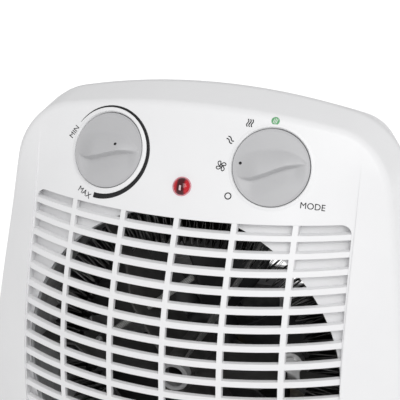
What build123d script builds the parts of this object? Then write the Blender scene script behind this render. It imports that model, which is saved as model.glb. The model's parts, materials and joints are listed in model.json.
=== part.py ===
from build123d import *
import os
from math import atan2, cos, degrees, radians, sin, sqrt, tan

# Fan convector heater. Millimetres, +Z up, front towards -Y, origin on the ground under the middle.

# Casing
WIDTH = 228.0
HEIGHT = 250.0
DEPTH = 125.0
FRONT_Y = -DEPTH / 2
REAR_Y = DEPTH / 2
PARTING_Y = 18.0
BASE_Z = 5.0
WALL = 2.5
BELOW = -60.0
FRONT_REACH = 90.0
FAR = 150.0

# Front surface: upright below, bending back into a leaning control panel.
# It bows from side to side, most at BOW_Z and least at the top.
LEAN = 31.0
LEAN_START_Z = 118.0
LEAN_RADIUS = 134.0
BOW_RADIUS = 154.0
BOW_Z = 152.0
BOW_SPAN = 107.0
BOW_LOW_Z = 110.0
BOW_HIGH_Z = 248.0
SECTION_STEP = 36
SECTION_COUNT = 10
FACE_EDGE_RADIUS = 6.0
FIELD_SINK = 1.2
FIELD_TOP_Z = 228.0
FIELD_RAMP = 45.0
FIELD_HALF = 82.0

# Outline seen from the front
ARCH_DROP = 14.0
CORNER_RADIUS = 36.0
SHOULDER_X = 94.5
HIP_Z = 100.0
HIP_RADIUS = 900.0
FRONT_DRAFT = 4.0
REAR_RIM = 4.0
REAR_TAPER = 21.0
REAR_EDGE_RADIUS = 8.0

# Grille
GRILLE_TOP_Z = 200.0
GRILLE_BASE_Z = 44.0
GRILLE_TOP_HALF = 80.5
GRILLE_BASE_HALF = 82.5
GRILLE_CORNER = 5.0
GRILLE_DEPTH = 5.0
SKIN = 2.2
SLAT_FACE = 2.9
SLAT_DEPTH = 2.6
SLAT_PITCH = 8.75
FIRST_GAP = 5.1
SLAT_COUNT = 18
BAR_PITCH = 28.0
BAR_COUNT = 5
BAR_WIDTH = 2.6
OUTLET_RADIUS = 81.0
AXIS_Z = 121.0

# Air duct, fan and motor, on the outlet's axis
DUCT_RADIUS = 80.0
DUCT_WALL = 1.2
BRACKET_Y = PARTING_Y + 1.0
BRACKET_SHEET = 1.5
BRACKET_OUTER = 88.0
POST_OFFSET = 72.0
POST_RADIUS = 4.5
SHAFT_RADIUS = 2.5
SHAFT_FRONT_Y = -6.0
SHAFT_REAR_Y = 50.0
RUNNING_GAP = 0.05
HUB_RADIUS = 14.0
FAN_RADIUS = 73.0
FAN_FRONT_Y = -1.0
FAN_REAR_Y = 15.0
BLADE_COUNT = 5
BLADE_CHORD = 38.0
BLADE_SHEET = 1.6
BLADE_PITCH = 22.0
BRIDGE_SHEET = 3.5
STATOR_STACK = 18.0
STATOR_BORE = 15.0
ROTOR_RADIUS = 14.6
MOTOR_SCREW_X = 26.0
BOSS_RADIUS = 6.0
PAD_RADIUS = 5.0
STATOR_Y = BRACKET_Y + BRACKET_SHEET + BRIDGE_SHEET
REAR_BRIDGE_Y = STATOR_Y + STATOR_STACK
STATOR_HALF = 32.0
STATOR_RISE = 22.0
STATOR_DROP = 56.0
WINDOW_HALF = 20.0
CORE_LIMB = 12.0

# Heating element
RIBBON_INNER = 60.0
RIBBON_OUTER = 76.0
RIBBON_DEPTH = 5.5
RIBBON_SHEET = 0.6
RIBBON_PLEATS = 60
FRONT_RIBBON_Y = -20.5
REAR_RIBBON_Y = -13.5
ARM_COUNT = 6
ARM_SHEET = 1.2
ARM_HUB_RADIUS = 7.6
ARM_FRONT_Y = -44.0
ARM_TIP_Y = -28.5
ARM_REAR_Y = -7.0
LEAD_RADIUS = 1.5
LEAD_START = (-37.5, -33, 133.5)
LEAD_END = (6.5, -33, 169.5)
CUTOUT_X = 56.0
CUTOUT_Y = -33.0
CUTOUT_Z = 131.5

# Controls
KNOB_X = 41.3
KNOB_Z = 224.0
KNOB_RADIUS = 18.3
KNOB_PROUD = 0.8
KNOB_SKIRT = 4.4
KNOB_EDGE = 0.7
RIDGE_HEIGHT = 2.6
RIDGE_BACK = 15.0
RIDGE_TIP = 14.5
THERMOSTAT_REST = 5.0
MODE_REST = 8.0
WELL_RADIUS = 19.0
WELL_DEPTH = 5.2
WELL_WALL = 2.2
BODY_DROP = WELL_DEPTH + WELL_WALL
SPINDLE_RADIUS = 3.0
SPINDLE_GRIP = 0.02
LAMP_Z = 213.1
LENS_RADIUS = 4.6
LENS_BARREL = 3.5
CLIP_GAP = 0.7
CLIP_LENGTH = 2.6
CLIP_WALL = 1.2

# Small fittings
SCREW_RADIUS = 1.6
SCREW_HEAD_RADIUS = 3.2
SCREW_HEAD = 2.0
SCREW_BITE = 12.0
SCREW_SPREAD = 10.0
CASE_SCREWS = ((-70, 213), (70, 213), (-82, 22), (82, 22))
CASE_SCREW_HEAD_Y = 30.0
FOOT_RADIUS = 8.0
FOOT_PEG_RADIUS = 2.5
FRONT_FOOT = (82, -22)
REAR_FOOT = (68, 45)
INLET_RADIUS = 60.0
INLET_SLOT = 4.0
INLET_PITCH = 9.0
INLET_RIB = 8.0
GRIP_HALF = 42.0
GRIP_LOW_Z = 198.0
GRIP_HIGH_Z = 219.0
GRIP_FLOOR_Y = 38.0
GRIP_CORNER = 6.0
GLAND_X = 55.0
GLAND_Z = 26.0
GLAND_RADIUS = 7.0
CORD_BORE_RADIUS = 3.6
GLAND_LENGTH = 18.0
TERMINAL_X = 10.0

CENTRE_Y = FRONT_Y + LEAN_RADIUS


def block(x0, x1, y0, y1, z0, z1):
    """Box between two corners."""
    size = Box(x1 - x0, y1 - y0, z1 - z0)
    return Pos((x0 + x1) / 2, (y0 + y1) / 2, (z0 + z1) / 2) * size


def profile_y(z, inset=0.0):
    """Where the middle of the front surface lies at a height, once moved inwards by inset."""
    radius = LEAN_RADIUS - inset
    straight_z = LEAN_START_Z + radius * sin(radians(LEAN))
    if z <= LEAN_START_Z:
        return FRONT_Y + inset
    if z <= straight_z:
        return CENTRE_Y - sqrt(radius**2 - (z - LEAN_START_Z) ** 2)
    return CENTRE_Y - radius * cos(radians(LEAN)) + (z - straight_z) * tan(radians(LEAN))


def bow_radius(z):
    """Radius of the front surface's bow from side to side at a height."""
    within = min(max(z, BOW_LOW_Z), BOW_HIGH_Z)
    return BOW_RADIUS / (1 - ((within - BOW_Z) / BOW_SPAN) ** 2)


def section_heights():
    """Heights of the sections that the front surface is lofted through."""
    return [BELOW + SECTION_STEP * index for index in range(SECTION_COUNT)]


def face_section(z, inset, sink):
    """Horizontal section of everything behind the front surface."""
    front = profile_y(z, inset) + sink
    radius = bow_radius(z) - inset
    half = WIDTH / 2 + 9
    side_y = front + radius - sqrt(radius**2 - half**2)
    bow = ThreePointArc((-half, side_y), (0, front), (half, side_y))
    back = Polyline((half, side_y), (half, REAR_Y), (-half, REAR_Y), (-half, side_y))
    return Pos(0, 0, z) * make_face(bow + back)


def face_block(inset=0.0):
    """Everything behind the front surface, once that surface is moved inwards by inset."""
    return loft([face_section(z, inset, 0) for z in section_heights()])


def sunk_block():
    """Everything behind the middle field, which sinks below the side rails from FIELD_TOP_Z down."""
    sections = []
    for z in section_heights():
        sink = FIELD_SINK * min(1, (FIELD_TOP_Z - z) / FIELD_RAMP)
        sections.append(face_section(z, 0, sink))
    return loft(sections)


def outline(inset=0.0):
    """Casing outline at the parting plane, seen from the front, running on down past the base."""
    half = WIDTH / 2
    corner_z = HEIGHT - ARCH_DROP
    arch = ThreePointArc((-SHOULDER_X, corner_z), (0, HEIGHT), (SHOULDER_X, corner_z))
    sides = Polyline(
        (SHOULDER_X, corner_z),
        (half, HIP_Z),
        (half, BELOW),
        (-half, BELOW),
        (-half, HIP_Z),
        (-SHOULDER_X, corner_z),
    )
    shape = make_face(arch + sides)
    hips = shape.vertices().filter_by(lambda v: abs(v.Y - HIP_Z) < 1)
    shape = fillet(hips, HIP_RADIUS)
    corners = shape.vertices().sort_by(Axis.Y)[-2:]
    shape = fillet(corners, CORNER_RADIUS)
    if inset == 0:
        return shape
    return offset(shape, -inset)


def above_base(body, inset=0.0):
    """Body cut off flat at the base."""
    return body - block(-FAR, FAR, -FAR, FAR, -FAR, BASE_Z + inset)


def front_body(inset=0.0):
    """Solid form of the front casing, all sides moved inwards by inset."""
    prism = extrude(Plane.XZ.offset(-PARTING_Y) * outline(inset), FRONT_REACH, taper=FRONT_DRAFT)
    return above_base(prism & face_block(inset), inset)


def face_rim(body):
    """Edges round the front surface."""
    fronts = body.faces().filter_by(lambda f: f.normal_at().Y < -0.6)
    edges = [edge for face in fronts for edge in face.edges()]
    return ShapeList([edge for edge in edges if edges.count(edge) == 1])


def rod_along_y(radius, y0, y1, x=0.0, z=AXIS_Z):
    """Cylinder whose axis runs front to back."""
    plane = Plane(origin=(x, y0, z), x_dir=(-1, 0, 0), z_dir=(0, 1, 0))
    return extrude(plane * Circle(radius), y1 - y0)


def rod_up(radius, z0, z1, x, y):
    """Upright cylinder."""
    return Pos(x, y, (z0 + z1) / 2) * Cylinder(radius, z1 - z0)


def ring_along_y(inner, outer, y0, y1, x=0.0, z=AXIS_Z):
    """Tube whose axis runs front to back."""
    return rod_along_y(outer, y0, y1, x, z) - rod_along_y(inner, y0, y1, x, z)


def face_y(x, z):
    """Where the front surface lies at a point seen from the front."""
    radius = bow_radius(z)
    return profile_y(z) + radius - sqrt(radius**2 - x**2)


def panel_plane(x, z):
    """Plane on the front surface, facing out, with its own Y pointing up the panel."""
    step = 1.0
    across = (face_y(x + step, z) - face_y(x - step, z)) / (2 * step)
    rise = (face_y(x, z + step) - face_y(x, z - step)) / (2 * step)
    return Plane(origin=(x, face_y(x, z), z), x_dir=(1, across, 0), z_dir=(across, -1, rise))


def disc_on(plane, radius, low, high, x=0.0, y=0.0):
    """Cylinder on a plane, between two heights above it."""
    return plane * Pos(x, y, low) * extrude(Circle(radius), high - low)


def box_on(plane, size_x, size_y, low, high, x=0.0, y=0.0):
    """Box on a plane, between two heights above it."""
    return plane * Pos(x, y, low) * extrude(Rectangle(size_x, size_y), high - low)


def opening(grow=0.0):
    """Prism of the grille opening, running front to back."""
    shape = make_face(
        Polyline(
            (-GRILLE_TOP_HALF, GRILLE_TOP_Z),
            (GRILLE_TOP_HALF, GRILLE_TOP_Z),
            (GRILLE_BASE_HALF, GRILLE_BASE_Z),
            (-GRILLE_BASE_HALF, GRILLE_BASE_Z),
            close=True,
        )
    )
    rounded = offset(fillet(shape.vertices(), GRILLE_CORNER), grow)
    return extrude(Plane.XZ.offset(-PARTING_Y) * rounded, FRONT_REACH)


def rear_body(inset=0.0):
    """Solid form of the rear casing: a short rim, then sides that close in towards the back."""
    depth = REAR_Y - PARTING_Y - REAR_RIM - inset
    rear_plane = Plane(origin=(0, PARTING_Y, 0), x_dir=(-1, 0, 0), z_dir=(0, 1, 0))
    rim = extrude(rear_plane * outline(inset), REAR_RIM)
    taper = extrude(rear_plane.offset(REAR_RIM) * outline(inset), depth, taper=REAR_TAPER)
    return above_base(rim + taper, inset)


def field_recess():
    """Thin layer taken off the middle of the front surface, between the side rails."""
    field = Rectangle(2 * FIELD_HALF, FIELD_TOP_Z - BELOW)
    prism = Plane.XZ.offset(-PARTING_Y) * Pos(0, (FIELD_TOP_Z + 8 + BELOW) / 2) * field
    return extrude(prism, FRONT_REACH) - SUNK


def bracket_points():
    """Where the motor bracket is screwed to the front casing."""
    return [(x, AXIS_Z + dz) for x in (-POST_OFFSET, POST_OFFSET) for dz in (-POST_OFFSET, POST_OFFSET)]


SUNK = sunk_block()
OPENING = opening()
THERMOSTAT = panel_plane(-KNOB_X, KNOB_Z)
MODE = panel_plane(KNOB_X, KNOB_Z)
LAMP = panel_plane(0, LAMP_Z)


def foot_holes(x, y):
    """Holes in the base for a pair of feet."""
    return [rod_up(FOOT_PEG_RADIUS, BASE_Z - 1, BASE_Z + WALL + 1, side * x, y) for side in (-1, 1)]


def make_front_shell():
    """Front casing with its knob wells, lamp hole, grille recess, air outlet and screw posts."""
    outer = front_body()
    rim = ShapeList([edge for edge in face_rim(outer) if edge.center().Z > BASE_Z + 1])
    shell = fillet(rim, FACE_EDGE_RADIUS) - front_body(WALL)

    inside = face_block(1)
    added = [(opening(SKIN) & inside) - face_block(GRILLE_DEPTH + SKIN)]
    for plane in (THERMOSTAT, MODE):
        added.append(disc_on(plane, WELL_RADIUS + WELL_WALL, -BODY_DROP, -1))
    behind_recess = face_block(GRILLE_DEPTH + 0.5)
    for x, z in bracket_points():
        added.append(rod_along_y(POST_RADIUS, -50, BRACKET_Y, x, z) & behind_recess)
    for x, z in CASE_SCREWS:
        added.append(rod_along_y(POST_RADIUS, -52, PARTING_Y, x, z) & inside)
    shell += added

    recess = OPENING - face_block(GRILLE_DEPTH)
    outlet = rod_along_y(OUTLET_RADIUS, -FAR, PARTING_Y) & OPENING
    shell -= [field_recess(), recess, outlet]

    holes = [disc_on(LAMP, LENS_BARREL, -WALL - 4, 4)]
    for plane in (THERMOSTAT, MODE):
        holes.append(disc_on(plane, WELL_RADIUS, -WELL_DEPTH, 8))
        holes.append(disc_on(plane, SPINDLE_RADIUS + 1, -BODY_DROP - 1, 0))
        for side in (-SCREW_SPREAD, SCREW_SPREAD):
            holes.append(disc_on(plane, SCREW_RADIUS, -BODY_DROP - 1, 0, x=side))
    for x, z in bracket_points():
        holes.append(rod_along_y(SCREW_RADIUS, BRACKET_Y - SCREW_BITE, BRACKET_Y + 1, x, z))
    for x, z in CASE_SCREWS:
        holes.append(rod_along_y(SCREW_RADIUS, PARTING_Y - SCREW_BITE, PARTING_Y + 1, x, z))
    return shell - holes - foot_holes(*FRONT_FOOT)


def slat_heights():
    """Top and bottom of each slat, stepping down the front surface's middle line."""
    edges = []
    for index in range(SLAT_COUNT):
        start = FIRST_GAP + index * SLAT_PITCH
        edges += [start, start + SLAT_FACE]
    heights = []
    z = GRILLE_TOP_Z
    travelled = 0.0
    step = 0.1
    for edge in edges:
        while travelled < edge:
            rise = profile_y(z) - profile_y(z - step)
            travelled += sqrt(step**2 + rise**2)
            z -= step
        heights.append(z)
    return list(zip(heights[0::2], heights[1::2]))


def make_front_grille():
    """Level slats and upright bars that fill the opening, following the sunk field."""
    layer = (OPENING & SUNK) - face_block(FIELD_SINK + SLAT_DEPTH)
    strips = [block(-FAR, FAR, -FAR, PARTING_Y, low, high) for high, low in slat_heights()]
    for index in range(BAR_COUNT):
        x = (index - (BAR_COUNT - 1) / 2) * BAR_PITCH
        strips.append(block(x - BAR_WIDTH / 2, x + BAR_WIDTH / 2, -FAR, PARTING_Y, 0, HEIGHT))
    return layer & (Part() + strips)


def make_rear_shell():
    """Rear casing with its inlet slots, carry grip, screw pockets and gland hole."""
    outer = rear_body()
    back_edges = outer.faces().sort_by(Axis.Y)[-1].edges()
    long_back = ShapeList([edge for edge in back_edges if edge.center().Z > BASE_Z + 1])
    outer = fillet(long_back, REAR_EDGE_RADIUS)

    added = [grip_box(WALL) & outer]
    added.append(rod_along_y(GLAND_RADIUS + WALL, REAR_Y - 8, REAR_Y, GLAND_X, GLAND_Z) & outer)
    for x, z in CASE_SCREWS:
        added.append(rod_along_y(POST_RADIUS + 1, PARTING_Y, REAR_Y, x, z) & outer)
    shell = outer - rear_body(WALL) + added

    holes = [grip_box(), inlet_slots(), rod_along_y(GLAND_RADIUS, REAR_Y - 20, 70, GLAND_X, GLAND_Z)]
    for x, z in CASE_SCREWS:
        holes.append(rod_along_y(SCREW_RADIUS, PARTING_Y - 1, 70, x, z))
        holes.append(rod_along_y(SCREW_HEAD_RADIUS + 0.3, CASE_SCREW_HEAD_Y, 70, x, z))
    return shell - holes - foot_holes(*REAR_FOOT)


def grip_box(grow=0.0):
    """Block that fills the carry grip's pocket, or that stands round it when grown."""
    box = block(
        -GRIP_HALF - grow,
        GRIP_HALF + grow,
        GRIP_FLOOR_Y - grow,
        REAR_Y + 10,
        GRIP_LOW_Z - grow,
        GRIP_HIGH_Z + grow,
    )
    return fillet(box.edges().filter_by(Axis.Y), GRIP_CORNER + grow)


def inlet_slots():
    """Slots of the air inlet, inside a circle on the back."""
    disc = rod_along_y(INLET_RADIUS, REAR_Y - WALL - 2, REAR_Y + 2)
    half_count = int(INLET_RADIUS // INLET_PITCH)
    slots = []
    for index in range(-half_count, half_count + 1):
        z = AXIS_Z + index * INLET_PITCH
        for x0, x1 in ((-70, -INLET_RIB / 2), (INLET_RIB / 2, 70)):
            slots.append(block(x0, x1, 40, 80, z - INLET_SLOT / 2, z + INLET_SLOT / 2))
    return disc & Compound(slots)


def make_air_duct():
    """Sheet-metal tube from the outlet back to the motor bracket."""
    tube = ring_along_y(DUCT_RADIUS, DUCT_RADIUS + DUCT_WALL, -70, BRACKET_Y)
    return tube & face_block(GRILLE_DEPTH + SKIN)


def make_motor_bracket():
    """Pressed ring with three arms to the motor and four ears on the casing posts."""
    ring = ring_along_y(DUCT_RADIUS - 6, BRACKET_OUTER, BRACKET_Y, BRACKET_Y + BRACKET_SHEET)
    bracket = ring + rod_along_y(HUB_RADIUS, BRACKET_Y, BRACKET_Y + BRACKET_SHEET)
    arm = block(0, DUCT_RADIUS, BRACKET_Y, BRACKET_Y + BRACKET_SHEET, -7, 7)
    for angle in (90, 210, 330):
        bracket += Pos(0, 0, AXIS_Z) * Rot(0, -angle, 0) * arm
    for x, z in bracket_points():
        ear = rod_along_y(POST_RADIUS + 2, BRACKET_Y, BRACKET_Y + BRACKET_SHEET, x, z)
        reach = POST_OFFSET * sqrt(2)
        tongue = block(0, reach, BRACKET_Y, BRACKET_Y + BRACKET_SHEET, -POST_RADIUS, POST_RADIUS)
        inner = rod_along_y(DUCT_RADIUS, BRACKET_Y, BRACKET_Y + BRACKET_SHEET)
        angle = degrees(atan2(z - AXIS_Z, x))
        bracket += ear + (Pos(0, 0, AXIS_Z) * Rot(0, -angle, 0) * tongue - inner)
    for side in (-MOTOR_SCREW_X, MOTOR_SCREW_X):
        pad = rod_along_y(PAD_RADIUS, BRACKET_Y, BRACKET_Y + BRACKET_SHEET, side)
        web = block(0, abs(side), BRACKET_Y, BRACKET_Y + BRACKET_SHEET, -PAD_RADIUS, PAD_RADIUS)
        bracket += pad + Pos(min(side, 0), 0, AXIS_Z) * web
    bracket -= rod_along_y(BOSS_RADIUS + 0.3, BRACKET_Y - 1, BRACKET_Y + 3)
    for side in (-MOTOR_SCREW_X, MOTOR_SCREW_X):
        bracket -= rod_along_y(SCREW_RADIUS, BRACKET_Y - 1, BRACKET_Y + 3, side)
    for x, z in bracket_points():
        bracket -= rod_along_y(SCREW_RADIUS, BRACKET_Y - 1, BRACKET_Y + 3, x, z)
    return bracket


def make_bearing_bridge(y, boss_y0, boss_y1):
    """Bar across the motor with the shaft's bearing at its middle."""
    bar = block(-MOTOR_SCREW_X - 5, MOTOR_SCREW_X + 5, y, y + BRIDGE_SHEET, AXIS_Z - 5, AXIS_Z + 5)
    bridge = bar + rod_along_y(BOSS_RADIUS, boss_y0, boss_y1)
    bridge -= rod_along_y(SHAFT_RADIUS + RUNNING_GAP, boss_y0 - 1, boss_y1 + 1)
    for side in (-MOTOR_SCREW_X, MOTOR_SCREW_X):
        bridge -= rod_along_y(SCREW_RADIUS, y - 1, y + BRIDGE_SHEET + 1, side)
    return bridge


def make_stator():
    """Laminated core with the rotor bore above and the winding window below."""
    y0, y1 = STATOR_Y, STATOR_Y + STATOR_STACK
    core = block(-STATOR_HALF, STATOR_HALF, y0, y1, AXIS_Z - STATOR_DROP, AXIS_Z + STATOR_RISE)
    window = block(-WINDOW_HALF, WINDOW_HALF, y0 - 1, y1 + 1, AXIS_Z - STATOR_DROP + CORE_LIMB, AXIS_Z - 22)
    core -= rod_along_y(STATOR_BORE, y0 - 1, y1 + 1) + window
    for side in (-MOTOR_SCREW_X, MOTOR_SCREW_X):
        core -= rod_along_y(SCREW_RADIUS, y0 - 1, y1 + 1, side)
    return core


def make_coil():
    """Winding round the core's lower limb, between two end cheeks."""
    limb_z = AXIS_Z - STATOR_DROP
    y0, y1 = STATOR_Y, STATOR_Y + STATOR_STACK
    wound = block(-18, 18, y0 - 6, y1 + 6, limb_z - 6, limb_z + CORE_LIMB + 6)
    wound = fillet(wound.edges().filter_by(Axis.X), 3)
    for side in (-18.0, 18.0):
        x0 = side - 0.8 if side > 0 else side
        wound += block(x0, x0 + 0.8, y0 - 7, y1 + 7, limb_z - 7, limb_z + CORE_LIMB + 7)
    return wound - block(-30, 30, y0, y1, limb_z, limb_z + CORE_LIMB)


def make_rotor():
    """Solid rotor on the motor shaft."""
    y0, y1 = STATOR_Y, STATOR_Y + STATOR_STACK
    rotor = rod_along_y(ROTOR_RADIUS, y0, y1)
    return rotor - rod_along_y(SHAFT_RADIUS, y0 - 1, y1 + 1)


def make_impeller():
    """Hub and pitched blades of the axial fan."""
    hub = rod_along_y(HUB_RADIUS, FAN_FRONT_Y, FAN_REAR_Y - 2)
    hub = fillet(hub.faces().sort_by(Axis.Y)[0].edges(), 3)
    hub -= ring_along_y(5, HUB_RADIUS - 2, FAN_FRONT_Y + 3, FAN_REAR_Y)
    middle = (FAN_FRONT_Y + FAN_REAR_Y) / 2
    blank = Box(FAN_RADIUS, BLADE_CHORD, BLADE_SHEET)
    blade = Pos(FAN_RADIUS / 2, 0, 0) * blank
    annulus = ring_along_y(HUB_RADIUS - 1, FAN_RADIUS, FAN_FRONT_Y, FAN_REAR_Y)
    impeller = hub
    for index in range(BLADE_COUNT):
        angle = 90 + 360 / BLADE_COUNT * index
        placed = Pos(0, middle, AXIS_Z) * Rot(0, -angle, 0) * Rot(90 + BLADE_PITCH, 0, 0) * blade
        impeller += placed & annulus
    return impeller - rod_along_y(SHAFT_RADIUS, -20, 30)


def zigzag(inner, outer, count):
    """Closed line that runs to and fro between two radii."""
    points = []
    for index in range(2 * count):
        radius = outer if index % 2 else inner
        angle = radians(180 / count * index)
        points.append((radius * cos(angle), radius * sin(angle)))
    return Polyline(*points, close=True)


def make_ribbon(y):
    """Resistance ribbon folded to and fro round a ring."""
    outer = make_face(zigzag(RIBBON_INNER + RIBBON_SHEET, RIBBON_OUTER, RIBBON_PLEATS))
    inner = make_face(zigzag(RIBBON_INNER, RIBBON_OUTER - RIBBON_SHEET * 3, RIBBON_PLEATS))
    plane = Plane(origin=(0, y, AXIS_Z), x_dir=(-1, 0, 0), z_dir=(0, 1, 0))
    return extrude(plane * (outer - inner), RIBBON_DEPTH)


def make_heater_frame():
    """Mica arms round a small hub, notched for the two ribbons."""
    profile = Polyline(
        (ARM_HUB_RADIUS, ARM_FRONT_Y),
        (42, ARM_FRONT_Y),
        (60, ARM_TIP_Y),
        (DUCT_RADIUS + 2, ARM_TIP_Y),
        (DUCT_RADIUS + 2, ARM_REAR_Y),
        (ARM_HUB_RADIUS, ARM_REAR_Y),
        close=True,
    )
    sheet = extrude(make_face(profile), ARM_SHEET / 2, both=True)
    arms = Part()
    for index in range(ARM_COUNT):
        arms += Pos(0, 0, AXIS_Z) * Rot(0, -360 / ARM_COUNT * index, 0) * sheet
    arms &= rod_along_y(DUCT_RADIUS - 0.02, -60, 10)
    for y in (FRONT_RIBBON_Y, REAR_RIBBON_Y):
        arms -= ring_along_y(RIBBON_INNER - 0.5, RIBBON_OUTER + 0.5, y - 0.05, y + RIBBON_DEPTH + 0.05)
    hub = ring_along_y(ARM_HUB_RADIUS - 0.02, ARM_HUB_RADIUS + 2, ARM_FRONT_Y + 4, ARM_REAR_Y)
    return arms + hub - lead_rod(LEAD_RADIUS + 0.3)


def lead_rod(radius):
    """Round bar along the sleeved lead that crosses the duct."""
    start = Vector(*LEAD_START)
    run = Vector(*LEAD_END) - start
    return extrude(Plane(origin=start, z_dir=run) * Circle(radius), run.length)


def highest_circle(body, plane):
    """Circular edge of a body that lies furthest out from a plane."""
    circles = body.edges().filter_by(GeomType.CIRCLE)
    return circles.sort_by(lambda edge: (edge.center() - plane.origin).dot(plane.z_dir))[-1]


def make_knob(plane, pointer_angle):
    """Round knob with a raised grip ridge that points along pointer_angle."""
    knob = disc_on(plane, KNOB_RADIUS, -KNOB_SKIRT, KNOB_PROUD)
    knob = fillet(highest_circle(knob, plane), KNOB_EDGE)
    back = Spline((-RIDGE_BACK, 1.5), (-5, 5), (RIDGE_TIP, 0.8), tangents=((0.3, 1), (1, -0.45)))
    front = Spline((RIDGE_TIP, 0.8), (3, -0.5), (-RIDGE_BACK, 1.5), tangents=((-1, 0), (-1, 0.35)))
    ridge = extrude(make_face(back + front), KNOB_PROUD + RIDGE_HEIGHT)
    knob += plane * Rot(0, 0, pointer_angle) * ridge
    knob -= disc_on(plane, KNOB_RADIUS - 2, -KNOB_SKIRT, -1.4) - disc_on(plane, 5.5, -KNOB_SKIRT, -1.4)
    return knob - disc_on(plane, SPINDLE_RADIUS + SPINDLE_GRIP, -KNOB_SKIRT, -1.4)


def make_spindle(plane, low):
    """Shaft from a control up into its knob."""
    return disc_on(plane, SPINDLE_RADIUS, low, -1.5)


def make_thermostat_body():
    """Ceramic block behind the left knob."""
    body = box_on(THERMOSTAT, 30, 22, -BODY_DROP - 11, -BODY_DROP)
    body -= disc_on(THERMOSTAT, SPINDLE_RADIUS + RUNNING_GAP, -BODY_DROP - 9, 0)
    for side in (-SCREW_SPREAD, SCREW_SPREAD):
        body -= disc_on(THERMOSTAT, SCREW_RADIUS, -BODY_DROP - 7, 0, x=side)
    return body


def make_thermostat_blade():
    """Bimetal strip under the thermostat, with its end bent down."""
    low = -BODY_DROP - 11
    strip = box_on(THERMOSTAT, 30, 7, low - 0.6, low)
    return strip + box_on(THERMOSTAT, 0.6, 7, low - 4, low, x=14.7)


def make_mode_switch():
    """Round rotary switch behind the right knob, with four tags."""
    body = disc_on(MODE, 15, -BODY_DROP - 12, -BODY_DROP)
    for angle in (45, 135, 225, 315):
        body += MODE * Rot(0, 0, angle) * Pos(11, 0, -BODY_DROP - 17) * extrude(Rectangle(0.8, 6), 5.5)
    body -= disc_on(MODE, SPINDLE_RADIUS + RUNNING_GAP, -BODY_DROP - 10, 0)
    for side in (-SCREW_SPREAD, SCREW_SPREAD):
        body -= disc_on(MODE, SCREW_RADIUS, -BODY_DROP - 7, 0, x=side)
    return body


def make_control_screws():
    """Four short screws that hold the two controls behind the panel."""
    screws = []
    for plane in (THERMOSTAT, MODE):
        for side in (-SCREW_SPREAD, SCREW_SPREAD):
            floor = -WELL_DEPTH
            head = disc_on(plane, 2.6, floor, floor + 0.7, x=side)
            screws.append(head + disc_on(plane, SCREW_RADIUS - 0.02, -BODY_DROP - 6, floor, x=side))
    return Compound(screws)


def make_lens():
    """Domed lens with a hollow barrel for the lamp."""
    dome = disc_on(LAMP, LENS_RADIUS, -0.2, 2.2)
    lens = fillet(highest_circle(dome, LAMP), 1.9) + disc_on(LAMP, LENS_BARREL - 0.05, -11, 0)
    return lens - disc_on(LAMP, 2.4, -12, 0.4)


def make_lamp_clip():
    """Push-on ring that holds the lens from behind the panel."""
    front = -WALL - CLIP_GAP
    ring = disc_on(LAMP, LENS_BARREL + CLIP_WALL, front - CLIP_LENGTH, front)
    return ring - disc_on(LAMP, LENS_BARREL, front - CLIP_LENGTH - 1, 0)


def make_neon_lamp():
    """Small glass lamp inside the lens barrel."""
    glass = disc_on(LAMP, 2.2, -12, -2)
    return fillet(glass.edges().filter_by(GeomType.CIRCLE), 0.9)


def make_terminal_block():
    """Three-way block that the supply cord is wired to."""
    base = block(TERMINAL_X - 18, TERMINAL_X + 18, 24, 40, BASE_Z + WALL, BASE_Z + WALL + 14)
    cuts = []
    for index in (-1, 0, 1):
        x = TERMINAL_X + 11 * index
        cuts.append(rod_along_y(2.2, 23, 41, x, BASE_Z + WALL + 5))
        cuts.append(rod_up(1.8, BASE_Z + WALL + 6, BASE_Z + WALL + 15, x, 32))
    return base - cuts


def make_cord_gland():
    """Grommet in the back wall that the supply cord enters through."""
    body = rod_along_y(GLAND_RADIUS - 0.02, REAR_Y - GLAND_LENGTH, REAR_Y, GLAND_X, GLAND_Z)
    flange = rod_along_y(GLAND_RADIUS + 2, REAR_Y - GLAND_LENGTH, REAR_Y - GLAND_LENGTH + 2, GLAND_X, GLAND_Z)
    bore = rod_along_y(CORD_BORE_RADIUS, REAR_Y - 30, REAR_Y + 1, GLAND_X, GLAND_Z)
    return body + flange - bore


def make_cord_clamp():
    """Bridge over the supply cord, just inside the gland."""
    y1 = REAR_Y - GLAND_LENGTH - 1
    top = GLAND_Z + CORD_BORE_RADIUS
    legs = block(GLAND_X - 9, GLAND_X + 9, y1 - 6, y1, BASE_Z + WALL, top + 3)
    slot = block(GLAND_X - 4, GLAND_X + 4, y1 - 7, y1 + 1, BASE_Z, GLAND_Z)
    return legs - slot - rod_along_y(CORD_BORE_RADIUS + 0.4, y1 - 7, y1 + 1, GLAND_X, GLAND_Z)


def screw_along_y(x, z, head_y, tip):
    """Pan-head screw driven forward from the back."""
    shank = rod_along_y(SCREW_RADIUS - 0.02, tip, head_y, x, z)
    return shank + rod_along_y(SCREW_HEAD_RADIUS, head_y, head_y + SCREW_HEAD, x, z)


def make_motor_screws():
    """Two long screws through the stator into the bracket, and four that hold the bracket."""
    screws = []
    for side in (-MOTOR_SCREW_X, MOTOR_SCREW_X):
        screws.append(screw_along_y(side, AXIS_Z, REAR_BRIDGE_Y + BRIDGE_SHEET, BRACKET_Y - 2))
    for x, z in bracket_points():
        screws.append(screw_along_y(x, z, BRACKET_Y + BRACKET_SHEET, BRACKET_Y - SCREW_BITE + 1))
    return Compound(screws)


def make_casing_screws():
    """Four screws that join the casing's halves."""
    tip = PARTING_Y - SCREW_BITE + 1
    return Compound([screw_along_y(x, z, CASE_SCREW_HEAD_Y, tip) for x, z in CASE_SCREWS])


def make_shaft():
    """Shaft that carries the rotor and the fan."""
    return rod_along_y(SHAFT_RADIUS, SHAFT_FRONT_Y, SHAFT_REAR_Y)


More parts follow.
